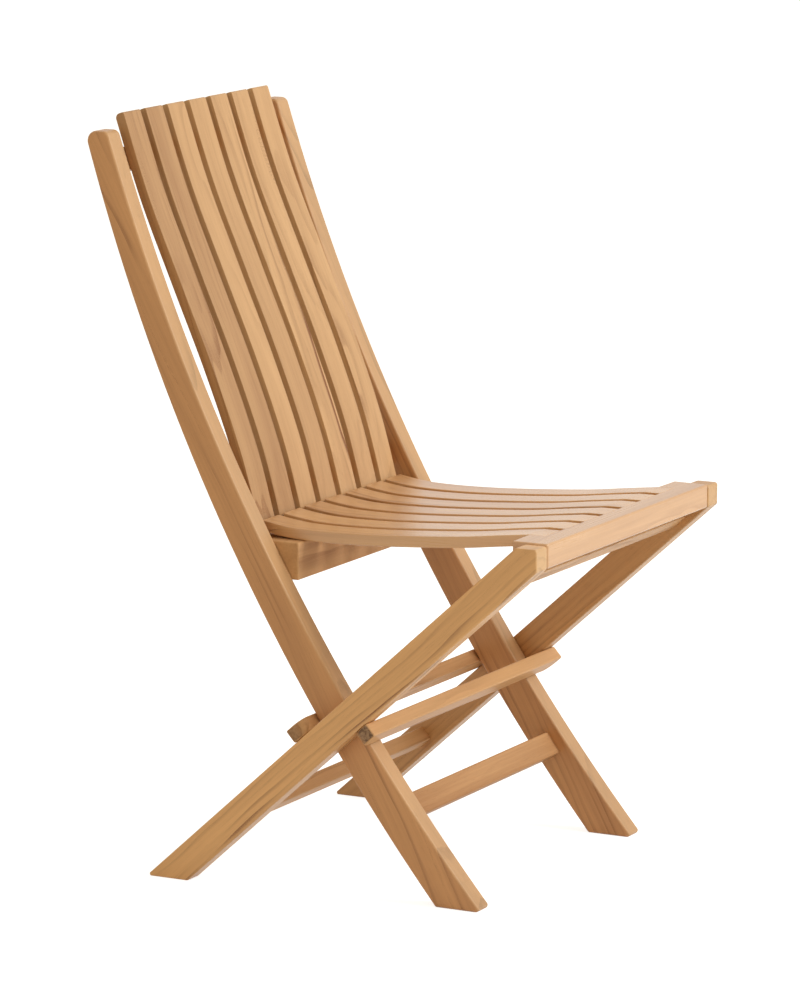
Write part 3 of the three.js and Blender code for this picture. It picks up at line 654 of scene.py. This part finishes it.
def teak_group():
    """The years are (distance from the pith + bends) / ring width, and their fraction is the
    season, which darkens slowly and ends sharply. Each ring has its own strength."""
    group = bpy.data.node_groups.new("teak_grain", "ShaderNodeTree")
    number, vector, colour = "NodeSocketFloat", "NodeSocketVector", "NodeSocketColor"
    for name, kind in (("Grain", vector), ("Board", vector), ("End", number), ("Painted Sheen", number),
                       ("Light Wood", colour), ("Dark Wood", colour), ("Ring Width", number)):
        group.interface.new_socket(name, in_out="INPUT", socket_type=kind)
    for name, kind in (("Color", colour), ("Roughness", number), ("Height", number)):
        group.interface.new_socket(name, in_out="OUTPUT", socket_type=kind)
    given = group.nodes.new("NodeGroupInput").outputs
    tone, figure, seed = add(group, "ShaderNodeSeparateXYZ", Vector=given["Board"]).outputs
    _, aside, through = add(group, "ShaderNodeSeparateXYZ", Vector=given["Grain"]).outputs

    def noise(along, across, detail=2.0, rough=0.5):
        """Noise drawn out along the grain: the measure is scaled much less along than across."""
        scaled = add(group, "ShaderNodeVectorMath", "MULTIPLY", i0=given["Grain"],
                     i1=(along, across, across))
        node = group.nodes.new("ShaderNodeTexNoise")
        node.noise_dimensions = "4D"
        group.links.new(scaled.outputs[0], node.inputs["Vector"])
        group.links.new(seed, node.inputs["W"])
        for field, value in (("Scale", 1.0), ("Detail", detail), ("Roughness", rough)):
            node.inputs[field].default_value = value
        return node.outputs["Fac"]

    # rings
    radius = maths(group, "SQRT", maths(group, "ADD", product(group, aside, aside),
                                        product(group, through, through)))
    bends = maths(group, "MULTIPLY_ADD", noise(0.0030, 0.016), RING_BEND, radius)
    bent = maths(group, "ADD", bends, product(group, noise(0.014, 0.10), RING_WOBBLE))
    years = maths(group, "DIVIDE", bent, given["Ring Width"])
    season = maths(group, "FRACT", years)
    late = product(group, smooth_step(group, season, 0.45, 0.94),
                   maths(group, "SUBTRACT", 1.0, smooth_step(group, season, 0.955, 1.0)))
    year = group.nodes.new("ShaderNodeTexWhiteNoise")
    year.noise_dimensions = "2D"
    joined = add(group, "ShaderNodeCombineXYZ", X=maths(group, "FLOOR", years), Y=seed)
    group.links.new(joined.outputs[0], year.inputs["Vector"])
    strength = maths(group, "POWER", year.outputs["Value"], 2.2)
    fading = smooth_step(group, noise(0.006, 0.05, 1.0), 0.32, 0.62)
    rings = product(group, late, strength, fading, figure)

    # how dark the wood is
    fibres = noise(0.006, 0.32, 3.0, 0.6)
    fine = noise(0.03, 1.6, 3.0, 0.6)
    broad = noise(0.0022, 0.035, 1.0)
    dashes = smooth_step(group, noise(0.06, 1.5, 1.0), 0.60, 0.72)
    dark = product(group, rings, 0.95)
    for part, share, offset in ((fibres, 0.32, 0.06), (fine, 0.12, -0.06), (broad, 0.6, -0.28)):
        dark = maths(group, "ADD", dark, maths(group, "MULTIPLY_ADD", part, share, offset))
    dark = maths(group, "ADD", dark, product(group, dashes, figure, 0.12))
    dark = maths(group, "SUBTRACT", dark, tone)
    dark = maths(group, "ADD", dark, product(group, given["End"], 0.22), clamp=True)

    # colour, polish and pores
    oiled = colour_mix(group, dark, given["Light Wood"], given["Dark Wood"])
    marks = colour_mix(group, smooth_step(group, fibres, 0.36, 0.62), OLD_MARK, NEW_MARK)
    greyed = product(group, smooth_step(group, given["End"], 0.9, 2.0), 0.85)
    # Painted sheen: faces that look forward and up are mixed towards the pale sheen colour.
    colours = colour_mix(group, given["Painted Sheen"], colour_mix(group, greyed, oiled, marks), SHEEN_COLOUR)
    rough = maths(group, "MULTIPLY_ADD", dark, 0.12, 0.38)
    pores = maths(group, "MULTIPLY_ADD", dashes, 0.7, product(group, rings, 0.35))
    height = maths(group, "SUBTRACT", product(group, fine, 0.5), pores)
    out = group.nodes.new("NodeGroupOutput")
    for name, value in (("Color", colours), ("Roughness", rough), ("Height", height)):
        group.links.new(value, out.inputs[name])
    return group


TEAK_GRAIN = teak_group()
print("teak grain group:", len(TEAK_GRAIN.nodes), "nodes")


# %% Teak materials
def srgb(red, green, blue):
    """Colour as a screen shows it, 0 to 255, turned into the light that it stands for."""
    c = np.array([red, green, blue]) / 255
    return (*np.where(c <= 0.04045, c / 12.92, ((c + 0.055) / 1.055) ** 2.4).tolist(), 1.0)


def read(tree, name, field):
    node = tree.nodes.new("ShaderNodeAttribute")
    node.attribute_name = name
    return node.outputs[field]


def teak(name, light, dark, ring_width, shine=0.34, polish=1.0):
    """Teak with its own colours. Shine is how much light the surface mirrors, and a polish below
    one makes it smoother."""
    material = bpy.data.materials.new(name)
    material.use_nodes = True
    tree = material.node_tree
    shader = tree.nodes["Principled BSDF"]
    grain = tree.nodes.new("ShaderNodeGroup")
    grain.node_tree = TEAK_GRAIN
    for field, attribute, kind in (("Grain", "grain", "Vector"), ("Board", "board", "Vector"),
                                   ("End", "end_grain", "Fac"), ("Painted Sheen", "painted_sheen_share", "Fac")):
        tree.links.new(read(tree, attribute, kind), grain.inputs[field])
    grain.inputs["Light Wood"].default_value = srgb(*light)
    grain.inputs["Dark Wood"].default_value = srgb(*dark)
    grain.inputs["Ring Width"].default_value = ring_width
    tree.links.new(grain.outputs["Color"], shader.inputs["Base Color"])
    tree.links.new(product(tree, grain.outputs["Roughness"], polish), shader.inputs["Roughness"])
    bump = add(tree, "ShaderNodeBump", Height=grain.outputs["Height"], Strength=0.25,
               Distance=0.0002)
    tree.links.new(bump.outputs[0], shader.inputs["Normal"])
    shader.inputs["Specular IOR Level"].default_value = shine
    material.diffuse_color = srgb(*light)
    return material


TEAKS = {
    "post_teak": teak("post_teak", (228, 172, 117), (120, 68, 32), 9.0, shine=0.4),
    "leg_teak": teak("leg_teak", (234, 182, 122), (122, 70, 30), 10.0, shine=0.5),
    "slat_teak": teak("slat_teak", (219, 177, 128), (132, 82, 42), 8.0),
    "seat_teak": teak("seat_teak", (229, 183, 132), (134, 80, 40), 8.0, shine=0.75, polish=0.68),
    "rail_teak": teak("rail_teak", (228, 183, 134), (128, 76, 38), 8.0, shine=0.1),
}


# %% Steel
def steel():
    """Zinc-plated steel: grey metal with a faint cloudy finish and fine scratches."""
    material = bpy.data.materials.new("plated_steel")
    material.use_nodes = True
    tree = material.node_tree
    shader = tree.nodes["Principled BSDF"]
    measure = tree.nodes.new("ShaderNodeTexCoord").outputs["Object"]
    cloud, scratch = [
        add(tree, "ShaderNodeTexNoise", Vector=measure, Scale=scale, Detail=detail).outputs["Fac"]
        for scale, detail in ((900.0, 3.0), (4200.0, 2.0))]
    rough = tree.nodes.new("ShaderNodeMapRange")
    tree.links.new(cloud, rough.inputs["Value"])
    rough.inputs["To Min"].default_value, rough.inputs["To Max"].default_value = 0.26, 0.46
    tree.links.new(rough.outputs[0], shader.inputs["Roughness"])
    tint = colour_mix(tree, cloud, srgb(150, 150, 146), srgb(190, 189, 182))
    tree.links.new(tint, shader.inputs["Base Color"])
    bump = add(tree, "ShaderNodeBump", Height=scratch, Strength=0.2, Distance=0.00005)
    tree.links.new(bump.outputs[0], shader.inputs["Normal"])
    shader.inputs["Metallic"].default_value = 1.0
    return material


PLATED = steel()

# %% [markdown]
# ## Putting the materials on
#
# Each board takes the teak of its own slot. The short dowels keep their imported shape, since they
# are hidden inside the wood, and the metal pieces share one plated steel. The dowels have no
# measure of their own tree, so a small plain teak reads their place in the chair instead.

# %% Assign materials
def dress(piece, material):
    if piece.data.materials:
        for i in range(len(piece.data.materials)):
            piece.data.materials[i] = material
    else:
        piece.data.materials.append(material)


def dowel_teak():
    """Teak for round pegs: the grain runs along the peg, across the chair."""
    material = TEAKS["rail_teak"].copy()
    material.name = "dowel_teak"
    tree = material.node_tree
    group = next(node for node in tree.nodes if node.type == "GROUP")
    measure = tree.nodes.new("ShaderNodeTexCoord").outputs["Object"]
    turned = add(tree, "ShaderNodeMapping", Vector=measure)
    turned.inputs["Rotation"].default_value = (0, 0, -np.pi / 2)
    turned.inputs["Scale"].default_value = (1 / MM, 1 / MM, 1 / MM)
    tree.links.new(turned.outputs[0], group.inputs["Grain"])
    for name in ("Board", "End", "Painted Sheen"):
        for link in list(group.inputs[name].links):
            tree.links.remove(link)
    group.inputs["Board"].default_value = (0.0, 0.6, 3.0)
    return material


for name, slot in WOOD.items():
    dress(bpy.data.objects[name], TEAKS[slot])
DOWEL = dowel_teak()
for node in ("rear_dowel_right", "rear_dowel_left", "front_dowel_right", "front_dowel_left"):
    dress(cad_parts[node], DOWEL)
for piece in METAL:
    dress(piece, PLATED)
print("wood pieces:", len(WOOD), "- metal pieces:", len(METAL))

# %% [markdown]
# ## Camera, floor and light
#
# The camera stands where the photograph was taken from, ahead of the chair and to its right,
# looking a little down. The light is a big soft lamp in front and above, so the fronts and tops
# are bright, and a weak warm lamp on the right keeps the sides brown. The background is white
# only where the camera, a reflection or glass sees it. The wood gets a dimmer, warmer light.

# %% Camera
camera_data = bpy.data.cameras.new("camera")
camera_data.lens = 190.73
camera = into_scene("camera", camera_data)
camera.location = (FRONT_EDGE + 2.6161, -5.4928, 1.5807)
camera.rotation_euler = (np.radians(90 - 10.468), 0, np.radians(28))
bpy.context.scene.camera = camera


# %% White for the camera's eye only
def seen_directly(tree):
    """One where a ray comes from the camera, a reflection or clear glass, and zero elsewhere."""
    path = tree.nodes.new("ShaderNodeLightPath").outputs
    either = maths(tree, "MAXIMUM", path["Is Camera Ray"], path["Is Glossy Ray"])
    return maths(tree, "MAXIMUM", either, path["Is Transmission Ray"])


WARM, WHITE, COOL_WHITE = (1.0, 0.88, 0.66, 1), (1, 1, 1, 1), (0.95, 0.97, 1, 1)
world = bpy.data.worlds.new("studio")
bpy.context.scene.world = world
world.use_nodes = True
tree = world.node_tree
tree.nodes.clear()
plain = add(tree, "ShaderNodeBackground", Color=WARM, Strength=0.5)
white = add(tree, "ShaderNodeBackground", Color=WHITE, Strength=1.0)
choice = add(tree, "ShaderNodeMixShader", i0=seen_directly(tree), i1=plain.outputs[0],
             i2=white.outputs[0])
tree.links.new(choice.outputs[0], tree.nodes.new("ShaderNodeOutputWorld").inputs[0])

# %% Floor
FLOOR_REACH, FLOOR_GREY, FLOOR_LIFT = 30, 0.8, 0.78
floor_mesh = bpy.data.meshes.new("floor")
floor_mesh.from_pydata([(*corner, 0) for corner in rectangle(FLOOR_REACH, FLOOR_REACH)], [],
                       [(0, 1, 2, 3)])
floor = into_scene("floor", floor_mesh)
paper = bpy.data.materials.new("white_paper")
paper.use_nodes = True
tree = paper.node_tree
tree.nodes.clear()
matt = add(tree, "ShaderNodeBsdfDiffuse", Color=(FLOOR_GREY, FLOOR_GREY, FLOOR_GREY, 1))
lift = add(tree, "ShaderNodeEmission", Color=COOL_WHITE,
           Strength=product(tree, seen_directly(tree), FLOOR_LIFT))
both = add(tree, "ShaderNodeAddShader", i0=matt.outputs[0], i1=lift.outputs[0])
tree.links.new(both.outputs[0], tree.nodes.new("ShaderNodeOutputMaterial").inputs[0])
dress(floor, paper)

# %% Lamps
CHAIR_MIDDLE = Vector((0, 0, 0.45))


def soft_lamp(name, spot, size, watts, colour=(1, 1, 1)):
    """A round lamp that looks at the middle of the chair."""
    data = bpy.data.lights.new(name, "AREA")
    data.shape, data.size, data.energy, data.color = "DISK", size, watts, colour
    lamp = into_scene(name, data)
    lamp.location = spot
    lamp.rotation_euler = (CHAIR_MIDDLE - Vector(spot)).to_track_quat("-Z", "Y").to_euler()


soft_lamp("key", (3.6, 0.8, 3.0), 2.4, 125)
soft_lamp("side", (0.2, -4.0, 1.9), 2.5, 14, (1.0, 0.86, 0.62))
bpy.context.scene.view_settings.view_transform = "Standard"
